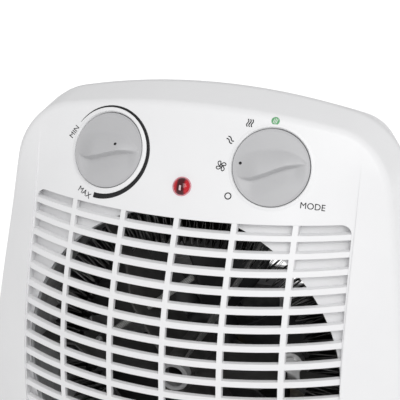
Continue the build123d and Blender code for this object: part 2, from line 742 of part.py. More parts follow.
def make_fan_clip():
    """Ring that is pressed on the shaft in front of the impeller."""
    return ring_along_y(SHAFT_RADIUS, SHAFT_RADIUS + 2.5, FAN_FRONT_Y - 1.2, FAN_FRONT_Y)


def make_centre_ring():
    """Ceramic bush in the middle of the element's frame."""
    ring = ring_along_y(5.2, ARM_HUB_RADIUS - 0.04, ARM_FRONT_Y - 1, ARM_FRONT_Y + 6)
    return fillet(ring.edges().filter_by(GeomType.CIRCLE).sort_by(Axis.Y)[:2], 0.6)


def make_thermal_cutout():
    """Round cut-out on a tab that clips over one of the element's arms."""
    case = rod_along_y(5.5, CUTOUT_Y, CUTOUT_Y + 4, CUTOUT_X, CUTOUT_Z)
    case += rod_along_y(3.5, CUTOUT_Y - 1.2, CUTOUT_Y, CUTOUT_X, CUTOUT_Z)
    tab = block(CUTOUT_X - 3, CUTOUT_X + 3, CUTOUT_Y + 3.2, CUTOUT_Y + 4, AXIS_Z + ARM_SHEET / 2, CUTOUT_Z)
    return case + tab


def make_thermal_fuse():
    """Small axial fuse, crimped into its leads on one arm."""
    side = AXIS_Z + ARM_SHEET / 2
    fuse = Pos(-48, -20, side + 2) * Rot(90, 0, 0) * Cylinder(2, 9)
    lead = Pos(-48, -20, side + 2) * Rot(90, 0, 0) * Cylinder(0.5, 18)
    return fuse + lead


def make_element_terminals():
    """Pair of flat tags on the arm opposite the cut-out, where the element's leads are joined."""
    base = AXIS_Z - ARM_SHEET / 2
    tags = [block(x - 3.2, x + 3.2, ARM_REAR_Y - 5, ARM_REAR_Y + 3, base - 0.8, base) for x in (-52, -40)]
    return Compound(tags)


def make_feet():
    """Four rubber feet, each with a peg into the base."""
    feet = []
    for x, y in (FRONT_FOOT, REAR_FOOT):
        for side in (-1, 1):
            pad = rod_up(FOOT_RADIUS, 0, BASE_Z, side * x, y)
            pad = fillet(pad.edges().filter_by(GeomType.CIRCLE).sort_by(Axis.Z)[0], 1.5)
            feet.append(pad + rod_up(FOOT_PEG_RADIUS - 0.02, BASE_Z, BASE_Z + 5, side * x, y))
    return Compound(feet)


PARTS = {
    "front_shell": make_front_shell(),
    "front_grille": make_front_grille(),
    "rear_shell": make_rear_shell(),
    "feet": make_feet(),
    "casing_screws": make_casing_screws(),
    "thermostat_knob": make_knob(THERMOSTAT, THERMOSTAT_REST),
    "thermostat_spindle": make_spindle(THERMOSTAT, -BODY_DROP - 8),
    "thermostat_body": make_thermostat_body(),
    "thermostat_blade": make_thermostat_blade(),
    "mode_knob": make_knob(MODE, MODE_REST),
    "mode_spindle": make_spindle(MODE, -BODY_DROP - 9),
    "mode_switch": make_mode_switch(),
    "control_screws": make_control_screws(),
    "indicator_lens": make_lens(),
    "lamp_clip": make_lamp_clip(),
    "neon_lamp": make_neon_lamp(),
    "air_duct": make_air_duct(),
    "heater_frame": make_heater_frame(),
    "centre_ring": make_centre_ring(),
    "front_ribbon": make_ribbon(FRONT_RIBBON_Y),
    "rear_ribbon": make_ribbon(REAR_RIBBON_Y),
    "element_lead": lead_rod(LEAD_RADIUS),
    "thermal_cutout": make_thermal_cutout(),
    "thermal_fuse": make_thermal_fuse(),
    "element_terminals": make_element_terminals(),
    "motor_bracket": make_motor_bracket(),
    "front_bridge": make_bearing_bridge(BRACKET_Y + BRACKET_SHEET, BRACKET_Y - 2, STATOR_Y),
    "motor_stator": make_stator(),
    "motor_coil": make_coil(),
    "rear_bridge": make_bearing_bridge(REAR_BRIDGE_Y, REAR_BRIDGE_Y, REAR_BRIDGE_Y + 7),
    "motor_screws": make_motor_screws(),
    "motor_rotor": make_rotor(),
    "motor_shaft": make_shaft(),
    "fan_impeller": make_impeller(),
    "fan_clip": make_fan_clip(),
    "terminal_block": make_terminal_block(),
    "cord_gland": make_cord_gland(),
    "cord_clamp": make_cord_clamp(),
}

os.makedirs("parts", exist_ok=True)
for name, shape in PARTS.items():
    export_step(shape, os.path.join("parts", name + ".step"))
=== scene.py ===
"""Looks for the fan convector heater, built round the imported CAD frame. Metres, +Z up, front towards -Y."""

import json
import math

import bmesh
import bpy
from mathutils import Matrix, Vector
from mathutils.bvhtree import BVHTree


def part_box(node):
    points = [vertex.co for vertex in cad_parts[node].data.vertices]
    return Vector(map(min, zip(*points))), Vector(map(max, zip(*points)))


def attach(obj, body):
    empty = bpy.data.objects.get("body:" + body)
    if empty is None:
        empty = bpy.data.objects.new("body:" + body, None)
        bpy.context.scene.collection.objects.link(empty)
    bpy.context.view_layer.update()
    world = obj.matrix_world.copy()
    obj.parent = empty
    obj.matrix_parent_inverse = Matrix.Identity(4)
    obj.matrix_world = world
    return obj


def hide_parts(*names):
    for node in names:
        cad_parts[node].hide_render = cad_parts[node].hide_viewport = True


MM = 0.001
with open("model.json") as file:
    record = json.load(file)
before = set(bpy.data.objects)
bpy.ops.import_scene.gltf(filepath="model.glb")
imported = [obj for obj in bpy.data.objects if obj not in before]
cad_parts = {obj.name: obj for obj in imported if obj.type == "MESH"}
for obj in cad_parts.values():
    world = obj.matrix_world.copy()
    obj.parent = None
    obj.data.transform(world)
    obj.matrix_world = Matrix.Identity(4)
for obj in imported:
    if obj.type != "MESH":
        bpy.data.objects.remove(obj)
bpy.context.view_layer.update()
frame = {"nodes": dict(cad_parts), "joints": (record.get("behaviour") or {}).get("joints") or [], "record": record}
NODES = frame["nodes"]
JOINTS = {joint["name"]: joint for joint in frame["joints"]}

# Camera, with its roll in degrees and its lens in millimetres
CAMERA_AT = (0.24221, -0.63733, 0.46889)
CAMERA_TARGET = (0.02125, -0.0589, 0.22104)
CAMERA_ROLL = -1.317
CAMERA_LENS = 134.7
CAMERA_SENSOR = 36

# Light and floor
SKY_STRENGTH = 0.59
KEY_AT = (0.70, -1.28, 1.45)
KEY_SIZE = 1.3
KEY_POWER = 18.6
KEY_TARGET = (0, 0, 0.15)
FLOOR_SIZE = 3.0
FLOOR_STEPS = 24

# Knobs, in millimetres on each knob's own plane, with the pointers' directions in degrees
KNOB_RADIUS = 18.3
KNOB_PROUD = 0.8
KNOB_SKIRT = 4.2
KNOB_RIDGE = 3.0
KNOB_SCOOP = 1.4
KNOB_DOME = 0.85
KNOB_HOLLOW = 1.8
KNOB_FACE = 0.965
KNOB_COLUMNS = 112
THERMOSTAT_REST = 5.0
MODE_REST = 8.0

# Welt round each well: its profile as (radius, height), and the radius outside which it rests on the casing
COLLAR = [(18.52, -3.4), (18.52, -0.85), (18.66, -0.4), (18.86, 0.02), (19.15, 0.27), (19.5, 0.25), (19.95, 0.1),
          (20.4, -0.02), (20.5, -0.3), (19.3, -0.3), (18.8, -3.4), (18.52, -3.4)]
COLLAR_SHIFT = 0.05
COLLAR_SEAT = 19.1
COLLAR_STEPS = 96

# Lamp: height of its middle, and reach of the points that find its plane, both in metres
LAMP_Z = 0.2131
LAMP_REACH = 0.007

# Lens, and the painted highlight at its centre, in millimetres
HIGHLIGHT_WIDTH = 1.0
HIGHLIGHT_HEIGHT = 2.2
HIGHLIGHT_RISE = 0.3
LENS_RADIUS = 4.05
LENS_SEAT = 0.25
LENS_RISE = 2.3
LENS_BORE = 3.1
LENS_BORE_RISE = 1.5
LENS_BARREL = 3.4
LENS_BARREL_END = -6.0

# Printed marks: height over the casing, thickness of the ink, widening of the letters, share of a capital's height
PRINT_LIFT = 0.06
PRINT_SHEET = 0.05
LABEL_BOLD = 0.004
CAPITAL_SHARE = 0.72

# Heating ribbons: radii of the folds in millimetres, and folds in each ribbon
RIBBON_INNER = 61.0
RIBBON_OUTER = 75.0
FRONT_PLEATS = 110
REAR_PLEATS = 104

# Fan, in metres and degrees
FAN_BLADES = 5
FAN_HUB = 0.014
FAN_HUB_WALL = 0.002
BLADE_ANGLE = 50
BLADE_SWEEP = 14
BLADE_PITCH = 0.0066
BLADE_CAMBER = 0.0012
BLADE_SHEET = 0.0013


def smoothstep(low, high, value):
    """0 below low, 1 above high, smooth between."""
    t = min(max((value - low) / (high - low), 0.0), 1.0)
    return t * t * (3 - 2 * t)


def turned(x, y, angle, centre=(0.0, 0.0)):
    """Point turned anticlockwise by an angle in radians, then moved to a centre."""
    cosine, sine = math.cos(angle), math.sin(angle)
    return centre[0] + x * cosine - y * sine, centre[1] + x * sine + y * cosine


def clock_point(degrees, radius, centre=(0.0, 0.0)):
    """Point at an angle clockwise from straight up the panel."""
    angle = math.radians(degrees)
    return centre[0] + radius * math.sin(angle), centre[1] + radius * math.cos(angle)


# ---------------------------------------------------------------- materials


class Recipe:
    """Node tree of one material, with short ways to add what most finishes need."""

    def __init__(self, name):
        self.material = bpy.data.materials.new(name)
        self.material.use_nodes = True
        self.tree = self.material.node_tree
        self.tree.nodes.clear()
        self.shader = self.add("ShaderNodeBsdfPrincipled")
        output = self.add("ShaderNodeOutputMaterial")
        self.link(self.shader.outputs[0], output.inputs[0])
        self.coords = self.add("ShaderNodeTexCoord")

    def add(self, kind, **settings):
        node = self.tree.nodes.new(kind)
        for key, value in settings.items():
            setattr(node, key, value)
        return node

    def link(self, source, target):
        self.tree.links.new(source, target)

    def set(self, **values):
        for key, value in values.items():
            self.shader.inputs[key.replace("_", " ")].default_value = value

    def place(self, stretch):
        mapping = self.add("ShaderNodeMapping")
        mapping.inputs["Scale"].default_value = stretch
        self.link(self.coords.outputs["Object"], mapping.inputs["Vector"])
        return mapping.outputs["Vector"]

    def noise(self, scale, detail=4.0, roughness=0.55, stretch=(1, 1, 1)):
        node = self.add("ShaderNodeTexNoise")
        node.inputs["Scale"].default_value = scale
        node.inputs["Detail"].default_value = detail
        node.inputs["Roughness"].default_value = roughness
        self.link(self.place(stretch), node.inputs["Vector"])
        return node.outputs["Fac"]

    def bands(self, scale, axis, distortion=0.0):
        node = self.add("ShaderNodeTexWave", bands_direction=axis)
        node.inputs["Scale"].default_value = scale
        node.inputs["Distortion"].default_value = distortion
        self.link(self.coords.outputs["Object"], node.inputs["Vector"])
        return node.outputs["Fac"]

    def maths(self, operation, *values):
        """Result of a sum on sockets and constants."""
        node = self.add("ShaderNodeMath", operation=operation)
        for socket, value in zip(node.inputs, values):
            if isinstance(value, bpy.types.NodeSocket):
                self.link(value, socket)
            else:
                socket.default_value = value
        return node.outputs["Value"]

    def colours(self, factor, first, second, low=0.3, high=0.7):
        ramp = self.add("ShaderNodeValToRGB")
        ramp.color_ramp.elements[0].position = low
        ramp.color_ramp.elements[0].color = (*first, 1)
        ramp.color_ramp.elements[1].position = high
        ramp.color_ramp.elements[1].color = (*second, 1)
        self.link(factor, ramp.inputs["Fac"])
        self.link(ramp.outputs["Color"], self.shader.inputs["Base Color"])

    def roughness(self, factor, low, high):
        spread = self.add("ShaderNodeMapRange")
        spread.inputs["To Min"].default_value = low
        spread.inputs["To Max"].default_value = high
        self.link(factor, spread.inputs["Value"])
        self.link(spread.outputs["Result"], self.shader.inputs["Roughness"])

    def bump(self, *layers):
        """Layers are (height, distance in metres, strength), each on top of the one before."""
        normal = None
        for height, distance, strength in layers:
            node = self.add("ShaderNodeBump")
            node.inputs["Distance"].default_value = distance
            node.inputs["Strength"].default_value = strength
            self.link(height, node.inputs["Height"])
            if normal:
                self.link(normal, node.inputs["Normal"])
            normal = node.outputs["Normal"]
        self.link(normal, self.shader.inputs["Normal"])


def moulded(name, first, second, rough, grain, depth, coat=0.0):
    """Moulded plastic: slight colour drift, uneven gloss and the tool's fine texture."""
    recipe = Recipe(name)
    recipe.colours(recipe.noise(22, 3), first, second)
    recipe.roughness(recipe.noise(260, 5), rough - 0.06, rough + 0.06)
    recipe.bump((recipe.noise(grain, 3), depth, 0.25), (recipe.noise(38, 2), 0.00012, 0.12))
    recipe.set(IOR=1.48, Coat_Weight=coat, Coat_Roughness=0.2)
    return recipe.material


def sheet_metal(name, first, second, rough, stretch=(1, 1, 1), metallic=1.0, depth=0.00002):
    """Rolled or ground metal, with grain along the stretched direction."""
    recipe = Recipe(name)
    grain = recipe.noise(900, 5, 0.65, stretch)
    recipe.colours(recipe.noise(70, 5), first, second, 0.35, 0.65)
    recipe.roughness(grain, rough - 0.12, rough + 0.14)
    recipe.bump((grain, depth, 0.5))
    recipe.set(Metallic=metallic)
    return recipe.material


def spangled_steel():
    """Galvanised duct sheet: zinc spangle under a fine grain."""
    recipe = Recipe("duct_steel")
    cells = recipe.add("ShaderNodeTexVoronoi")
    cells.inputs["Scale"].default_value = 160
    recipe.link(recipe.coords.outputs["Object"], cells.inputs["Vector"])
    recipe.colours(cells.outputs["Color"], (0.42, 0.425, 0.43), (0.56, 0.565, 0.57), 0.2, 0.8)
    recipe.roughness(cells.outputs["Color"], 0.34, 0.52)
    recipe.bump((recipe.noise(700, 4), 0.00002, 0.4))
    recipe.set(Metallic=0.25)
    return recipe.material


def layered_mica():
    recipe = Recipe("mica")
    recipe.colours(recipe.noise(120, 6, 0.7), (0.022, 0.021, 0.020), (0.055, 0.053, 0.051), 0.3, 0.7)
    recipe.roughness(recipe.noise(500, 4), 0.3, 0.55)
    recipe.bump((recipe.noise(420, 5, 0.7), 0.00006, 0.5))
    recipe.set(Sheen_Weight=0.15)
    return recipe.material


def laminated_core():
    """Stacked steel laminations, half a millimetre each."""
    recipe = Recipe("core_steel")
    layers = recipe.bands(320, "Y", 0.4)
    recipe.colours(recipe.noise(90, 5), (0.13, 0.13, 0.14), (0.27, 0.265, 0.26))
    recipe.roughness(layers, 0.35, 0.6)
    recipe.bump((layers, 0.00012, 0.7), (recipe.noise(600, 3), 0.00002, 0.3))
    recipe.set(Metallic=0.9)
    return recipe.material


def taped_coil():
    recipe = Recipe("coil_tape")
    turns = recipe.bands(150, "X", 0.5)
    recipe.colours(turns, (0.55, 0.36, 0.05), (0.78, 0.58, 0.13), 0.2, 0.8)
    recipe.roughness(recipe.noise(300, 3), 0.25, 0.4)
    recipe.bump((turns, 0.0002, 0.6))
    recipe.set(Coat_Weight=0.3, Coat_Roughness=0.15)
    return recipe.material


def braided_sleeve():
    recipe = Recipe("lead_sleeve")
    weave = recipe.bands(420, "DIAGONAL", 1.2)
    recipe.colours(weave, (0.20, 0.20, 0.195), (0.33, 0.33, 0.32), 0.2, 0.8)
    recipe.roughness(weave, 0.6, 0.85)
    recipe.bump((weave, 0.00015, 0.6))
    return recipe.material


def dark_rubber():
    recipe = Recipe("foot_rubber")
    recipe.colours(recipe.noise(60, 4), (0.030, 0.030, 0.031), (0.055, 0.055, 0.056))
    recipe.roughness(recipe.noise(400, 4), 0.62, 0.85)
    recipe.bump((recipe.noise(1100, 4), 0.00004, 0.5))
    return recipe.material


def lens_glass():
    """Red lens with a painted dark reflection down its middle and a painted pale highlight over its centre."""
    recipe = Recipe("lens_red")
    split = recipe.add("ShaderNodeSeparateXYZ")
    recipe.link(recipe.coords.outputs["Object"], split.inputs["Vector"])
    # Painted reflection: the red darkens towards the lens's middle, fully dark within 1.2 mm of it and full red
    # beyond 2.6 mm.
    side = recipe.maths("ABSOLUTE", split.outputs["X"])
    share = recipe.add("ShaderNodeMapRange", interpolation_type="SMOOTHSTEP")
    share.inputs["From Min"].default_value = 0.0012
    share.inputs["From Max"].default_value = 0.0026
    recipe.link(side, share.inputs["Value"])
    recipe.colours(share.outputs["Result"], (0.06, 0.001, 0.004), (0.52, 0.006, 0.016), 0.0, 1.0)
    # Painted highlight: a pale patch over the lens's centre, mixed into the base colour.
    across = recipe.maths("LESS_THAN", side, HIGHLIGHT_WIDTH / 2 * MM)
    middle = LAMP_Z + HIGHLIGHT_RISE * MM
    along = recipe.maths("COMPARE", split.outputs["Z"], middle, HIGHLIGHT_HEIGHT / 2 * MM)
    red = recipe.shader.inputs["Base Color"].links[0].from_socket
    highlight_mix = recipe.add("ShaderNodeMix", data_type="RGBA")
    recipe.link(recipe.maths("MULTIPLY", across, along), highlight_mix.inputs[0])
    recipe.link(red, highlight_mix.inputs[6])
    highlight_mix.inputs[7].default_value = (0.62, 0.50, 0.51, 1)
    recipe.link(highlight_mix.outputs[2], recipe.shader.inputs["Base Color"])
    recipe.roughness(recipe.noise(900, 2), 0.04, 0.1)
    recipe.bump((recipe.noise(300, 2), 0.00003, 0.3))
    recipe.set(IOR=1.4, Coat_Weight=0.25, Coat_Roughness=0.03)
    return recipe.material


def flange_glass():
    """Thin edge of the lens, pale where light comes through it."""
    recipe = Recipe("lens_flange")
    recipe.colours(recipe.noise(500, 2), (0.60, 0.22, 0.26), (0.70, 0.34, 0.38))
    recipe.roughness(recipe.noise(700, 2), 0.12, 0.2)
    recipe.bump((recipe.noise(400, 2), 0.00002, 0.3))
    recipe.set(IOR=1.5, Coat_Weight=0.4, Coat_Roughness=0.05)
    return recipe.material


def lamp_envelope():
    recipe = Recipe("lamp_glass")
    recipe.colours(recipe.noise(300, 2), (0.62, 0.52, 0.42), (0.72, 0.62, 0.5))
    recipe.roughness(recipe.noise(500, 2), 0.05, 0.12)
    recipe.bump((recipe.noise(260, 2), 0.00003, 0.3))
    recipe.set(Transmission_Weight=0.6)
    return recipe.material


def ink(name, colour):
    """Pad-printed ink, a little uneven at its own scale."""
    recipe = Recipe(name)
    lighter = tuple(min(1.0, value * 1.35 + 0.006) for value in colour)
    recipe.colours(recipe.noise(2600, 3), colour, lighter, 0.35, 0.8)
    recipe.roughness(recipe.noise(900, 2), 0.42, 0.6)
    recipe.bump((recipe.noise(3000, 2), 0.00001, 0.3))
    recipe.set(Specular_IOR_Level=0.15)
    return recipe.material


def make_materials():
    """One finish for each of the record's material slots, the lens's edge, the element's bush and the inks."""
    white = moulded("casing_white", (0.80, 0.80, 0.81), (0.83, 0.83, 0.838), 0.42, 1900, 0.00002, 0.05)
    glaze = moulded("ring_glaze", (0.26, 0.26, 0.265), (0.38, 0.38, 0.385), 0.16, 500, 0.00003, 0.6)
    alloy = sheet_metal("ribbon_alloy", (0.05, 0.049, 0.048), (0.20, 0.198, 0.195), 0.3, (1, 3, 1))
    return {
        "casing_white": white,
        "knob_grey": moulded("knob_grey", (0.47, 0.47, 0.48), (0.50, 0.50, 0.51), 0.46, 1700, 0.00003),
        "lens_red": lens_glass(),
        "lens_flange": flange_glass(),
        "lamp_glass": lamp_envelope(),
        "duct_steel": spangled_steel(),
        "bracket_steel": sheet_metal("bracket_steel", (0.30, 0.30, 0.31), (0.45, 0.45, 0.46), 0.45, (1, 6, 6)),
        "ribbon_alloy": alloy,
        "mica": layered_mica(),
        "ring_glaze": glaze,
        "ceramic_white": moulded("ceramic_white", (0.62, 0.60, 0.55), (0.72, 0.70, 0.66), 0.6, 900, 0.00005),
        "lead_sleeve": braided_sleeve(),
        "cutout_metal": sheet_metal("cutout_metal", (0.50, 0.50, 0.50), (0.66, 0.66, 0.66), 0.35),
        "fan_black": moulded("fan_black", (0.018, 0.018, 0.019), (0.030, 0.030, 0.032), 0.42, 1200, 0.00004),
        "core_steel": laminated_core(),
        "bridge_alloy": sheet_metal("bridge_alloy", (0.46, 0.46, 0.47), (0.60, 0.60, 0.61), 0.5, depth=0.00006),
        "coil_tape": taped_coil(),
        "shaft_steel": sheet_metal("shaft_steel", (0.52, 0.52, 0.53), (0.66, 0.66, 0.67), 0.22, (1, 9, 1)),
        "screw_zinc": sheet_metal("screw_zinc", (0.48, 0.48, 0.45), (0.62, 0.62, 0.60), 0.34),
        "black_plastic": moulded("black_plastic", (0.03, 0.03, 0.031), (0.045, 0.045, 0.047), 0.45, 1300, 0.00004),
        "switch_plastic": moulded("switch_plastic", (0.62, 0.59, 0.50), (0.68, 0.65, 0.56), 0.4, 1300, 0.00003),
        "bimetal": sheet_metal("bimetal", (0.50, 0.40, 0.20), (0.62, 0.50, 0.27), 0.3, (8, 1, 1)),
        "foot_rubber": dark_rubber(),
        "ink_black": ink("ink_black", (0.018, 0.018, 0.019)),
        "ink_green": ink("ink_green", (0.13, 0.36, 0.17)),
        "ink_pale": ink("ink_pale", (0.66, 0.72, 0.66)),
    }


MATERIALS = make_materials()


def dress_cad_nodes():
    """Gives every CAD node the finish of its slot, and the bush in the element's middle a dark glaze."""
    for part in frame["record"]["subparts"]:
        obj = NODES[part["node"]]
        obj.data.materials.clear()
        finish = "ring_glaze" if part["node"] == "centre_ring" else part["material_slot"]
        obj.data.materials.append(MATERIALS[finish])


def round_edges(node, width, angle=38.0):
    """Rounds the sharp edges that a mould leaves soft."""
    obj = NODES[node]
    weld = obj.modifiers.new("weld", "WELD")
    weld.merge_threshold = 0.000002
    bevel = obj.modifiers.new("round", "BEVEL")
    bevel.limit_method = "ANGLE"
    bevel.angle_limit = math.radians(angle)
    bevel.width = width * MM
    bevel.segments = 3
    obj.modifiers.new("shade", "WEIGHTED_NORMAL").keep_sharp = False


# ---------------------------------------------------------------- mesh helpers


def add_piece(name, verts, faces, body, slot, material=None, sharp=40.0, replaces=()):
    """Adds a mesh given in metres in the shared frame, riding on a body."""
    mesh = bpy.data.meshes.new(name)
    mesh.from_pydata([tuple(v) for v in verts], [], faces)
    work = bmesh.new()
    work.from_mesh(mesh)
    bmesh.ops.remove_doubles(work, verts=work.verts, dist=1e-6)
    bmesh.ops.recalc_face_normals(work, faces=work.faces)
    work.to_mesh(mesh)
    work.free()
    mesh.shade_smooth()
    mesh.set_sharp_from_angle(angle=math.radians(sharp))
    mesh.materials.append(MATERIALS[material or slot])
    obj = bpy.data.objects.new(name, mesh)
    bpy.context.scene.collection.objects.link(obj)
    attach(obj, body)
    if replaces:
        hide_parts(*replaces)
    return obj


def grid_faces(rows, columns, wrap=False):
    """Quads between rows of points that are columns long."""
    faces = []
    last = columns if wrap else columns - 1
    for row in range(rows - 1):
        for column in range(last):
            after = (column + 1) % columns
            here, below = row * columns, (row + 1) * columns
            faces.append((here + column, here + after, below + after, below + column))
    return faces


def thicken(obj, thickness, offset=-1.0):
    """Gives an open sheet a real thickness."""
    modifier = obj.modifiers.new("sheet", "SOLIDIFY")
    modifier.thickness = thickness
    modifier.offset = offset
    return obj


class Panel:
    """Plane on the control panel: u to the right, v up the panel, both in millimetres."""

    def __init__(self, origin, normal):
        self.origin = Vector(origin)
        self.normal = Vector(normal).normalized()
        self.right = Vector((0, 0, 1)).cross(self.normal).normalized()
        self.up = self.normal.cross(self.right)

    def at(self, u, v, height=0.0):
        return self.origin + (self.right * u + self.up * v + self.normal * height) * MM


def joint_panel(name):
    joint = JOINTS[name]
    return Panel(joint["pos_m"], joint["axis"])


def shell_tree():
    shell = NODES["front_shell"].data
    points = [v.co.copy() for v in shell.vertices]
    return BVHTree.FromPolygons(points, [tuple(p.vertices) for p in shell.polygons])


SHELL = shell_tree()


def shell_front(x, z):
    """Point of the front casing straight behind a point seen from the front."""
    hit = SHELL.ray_cast(Vector((x, -0.2, z)), Vector((0, 1, 0)))
    return hit[0]


def surface_panel(x, z, reach):
    """Plane that rests on the front casing round a point, found from four points about it."""
    left, right = shell_front(x - reach, z), shell_front(x + reach, z)
    low, high = shell_front(x, z - reach), shell_front(x, z + reach)
    normal = (right - left).cross(high - low)
    return Panel((left + right + low + high) / 4, normal)


THERMOSTAT = joint_panel("thermostat_turn")
MODE = joint_panel("mode_turn")
LAMP = surface_panel(0.0, LAMP_Z, LAMP_REACH)


# ---------------------------------------------------------------- knobs


def ridge_line(x):
    """Crisp lower edge of a knob's grip ridge, as a share of the knob's radius."""
    curl = 0.13 * max(0.0, (-x - 0.5) / 0.4) ** 2
    return -0.10 + 0.13 * math.tanh(2.2 * x) + curl


def ridge_back(x):
    """Soft upper edge of the ridge."""
    return 0.46 * math.sqrt(max(0.0, 1 - ((x + 0.2) / 1.08) ** 2))


def knob_height(x, y):
    """Height of a knob's slightly domed face above its plane, in millimetres."""
    base = KNOB_PROUD - KNOB_DOME * (x * x + y * y)
    line, back = ridge_line(x), max(ridge_back(x), ridge_line(x) + 0.02)
    height = KNOB_RIDGE * smoothstep(-0.92, -0.3, x) * (1 - 0.8 * smoothstep(0.35, 0.9, x))
    fade = 1 - smoothstep(0.84, 0.95, math.hypot(x, y))
    if y >= line:
        across = min((y - line) / (back - line), 1.0)
        return base + height * (1 - across**1.7) * fade
    below = line - y
    drop = height * (1 - smoothstep(0.0, 0.075, below))
    scoop = KNOB_SCOOP * smoothstep(-0.95, -0.5, x) * (1 - smoothstep(0.55, 0.92, x))
    hollow = scoop * smoothstep(0.0, 0.09, below) * (1 - smoothstep(0.09, 0.62, below))
    return base + (drop - hollow) * fade


def knob_rows(x):
    """Heights of the grid's points in one column, crowded where the ridge turns."""
    reach = KNOB_FACE * math.sqrt(max(0.0, 1 - x * x))
    line = min(max(ridge_line(x), -0.9 * reach), 0.8 * reach)
    back = min(max(ridge_back(x), line + 0.05 * reach), 0.95 * reach)
    foot = max(line - 0.085, -0.95 * reach)
    stops = [(-reach, 14), (foot, 9), (line, 2), (min(line + 0.012, back), 14), (back, 8), (reach, 0)]
    rows = []
    for (start, count), (end, _) in zip(stops, stops[1:]):
        rows += [start + (end - start) * step / count for step in range(count)]
    return rows + [reach]


def add_knob(name, panel, rest, body, node):
    """Round knob with a fish-shaped grip ridge."""
    turn = math.radians(rest)
    verts, faces = [], []

    def put(x, y, height):
        u, v = turned(x, y, turn)
        verts.append(panel.at(u * KNOB_RADIUS, v * KNOB_RADIUS, height))
        return len(verts) - 1

    columns = []
    for index in range(1, KNOB_COLUMNS):
        x = -math.cos(math.pi * index / KNOB_COLUMNS) * KNOB_FACE
        column = [put(x, y, knob_height(x, y)) for y in knob_rows(x / KNOB_FACE)]
        columns.append(column)
    for left, right in zip(columns, columns[1:]):
        for row in range(len(left) - 1):
            faces.append((left[row], right[row], right[row + 1], left[row + 1]))
    rim = KNOB_PROUD - KNOB_DOME
    west = put(-KNOB_FACE, 0, rim + 0.06)
    east = put(KNOB_FACE, 0, rim + 0.06)
    for row in range(len(columns[0]) - 1):
        faces.append((west, columns[0][row], columns[0][row + 1]))
        faces.append((east, columns[-1][row + 1], columns[-1][row]))

    border = [west] + [column[0] for column in columns] + [east] + [column[-1] for column in reversed(columns)]
    spots = []
    for vertex in border:
        offset = verts[vertex] - panel.origin
        angle = math.atan2(offset.dot(panel.up), offset.dot(panel.right)) - turn
        spots.append((math.cos(angle), math.sin(angle)))
    ring = border
    profile = [(0.972, rim + 0.14), (0.985, rim + 0.12), (0.996, rim - 0.1), (1.0, rim - 0.45),
               (1.0, -KNOB_SKIRT), (0.93, -KNOB_SKIRT), (0.92, -KNOB_HOLLOW), (0.4, -KNOB_HOLLOW)]
    for share, height in profile:
        following = [put(share * x, share * y, height) for x, y in spots]
        for index in range(len(ring)):
            after = (index + 1) % len(ring)
            faces.append((ring[index], ring[after], following[after], following[index]))
        ring = following
    centre = put(0, 0, -KNOB_HOLLOW)
    for index in range(len(ring)):
        faces.append((ring[index], ring[(index + 1) % len(ring)], centre))
    return add_piece(name, verts, faces, body, "knob_grey", sharp=50, replaces=[node])


# ---------------------------------------------------------------- printed marks


def on_shell(panel, u, v):
    """Point of the front casing under a place on a panel, lifted just clear of it."""
    hit = SHELL.ray_cast(panel.at(u, v, 12), -panel.normal)
    if hit[0] is None:
        return panel.at(u, v)
    return hit[0] + panel.normal * PRINT_LIFT * MM


def add_collar(name, panel):
    """Low welt round a knob's well, steep on the inside and running out softly into the panel."""
    verts = []
    for radius, height in COLLAR:
        for step in range(COLLAR_STEPS):
            u, v = clock_point(360 * step / COLLAR_STEPS, radius, (COLLAR_SHIFT, COLLAR_SHIFT))
            resting = on_shell(panel, u, v) if radius > COLLAR_SEAT else panel.at(u, v)
            verts.append(resting + panel.normal * height * MM)
    add_piece(name, verts, grid_faces(len(COLLAR), COLLAR_STEPS, wrap=True), "casing", "casing_white")


def add_print(name, panel, points, faces, material="ink_black"):
    """Thin layer of ink whose flat outline is laid on the front casing."""
    verts = [on_shell(panel, u, v) for u, v in points]
    obj = add_piece(name, verts, faces, "casing", "casing_white", material)
    return thicken(obj, PRINT_SHEET * MM, 0.0)


def strip(points, widths, closed=False):
    """Outline and faces of a line of ink through points, with a width at each."""
    outline, count = [], len(points)
    for index, (u, v) in enumerate(points):
        if closed:
            before, after = points[index - 1], points[(index + 1) % count]
        else:
            before, after = points[max(index - 1, 0)], points[min(index + 1, count - 1)]
        du, dv = after[0] - before[0], after[1] - before[1]
        length = math.hypot(du, dv)
        side = widths[index] / 2
        outline.append((u - dv / length * side, v + du / length * side))
        outline.append((u + dv / length * side, v - du / length * side))
    faces = []
    for index in range(count if closed else count - 1):
        here, after = 2 * index, 2 * ((index + 1) % count)
        faces.append((here, here + 1, after + 1, after))
    return outline, faces


def add_heat_scale():
    """Arc round the thermostat knob that thickens from least to most."""
    first, last, steps = -57.0, 187.0, 122
    points, widths = [], []
    for step in range(steps + 1):
        share = step / steps
        width = 0.1 + 2.45 * share**0.72
        points.append(clock_point(first + (last - first) * share, 21.1 + width / 2, (-0.35, -0.25)))
        widths.append(width)
    add_print("print_heat_scale", THERMOSTAT, *strip(points, widths))


def add_ring_print(name, panel, centre, radius, stroke):
    points = [clock_point(10 * step, radius, centre) for step in range(36)]
    add_print(name, panel, *strip(points, [stroke] * len(points), closed=True))


def add_wave_prints(name, panel, centre, count, lean, spacing):
    """Short wavy strokes side by side, the sign for heat."""
    length, swing, stroke, steps = 3.6, -0.42, 0.5, 16
    for index in range(count):
        shift = (index - (count - 1) / 2) * spacing
        points = []
        for step in range(steps + 1):
            along = (step / steps - 0.5) * length
            across = shift + swing * math.sin(2 * math.pi * step / steps)
            points.append(turned(across, along, math.radians(lean), centre))
        add_print(f"{name}_{index + 1}", panel, *strip(points, [stroke] * len(points)))


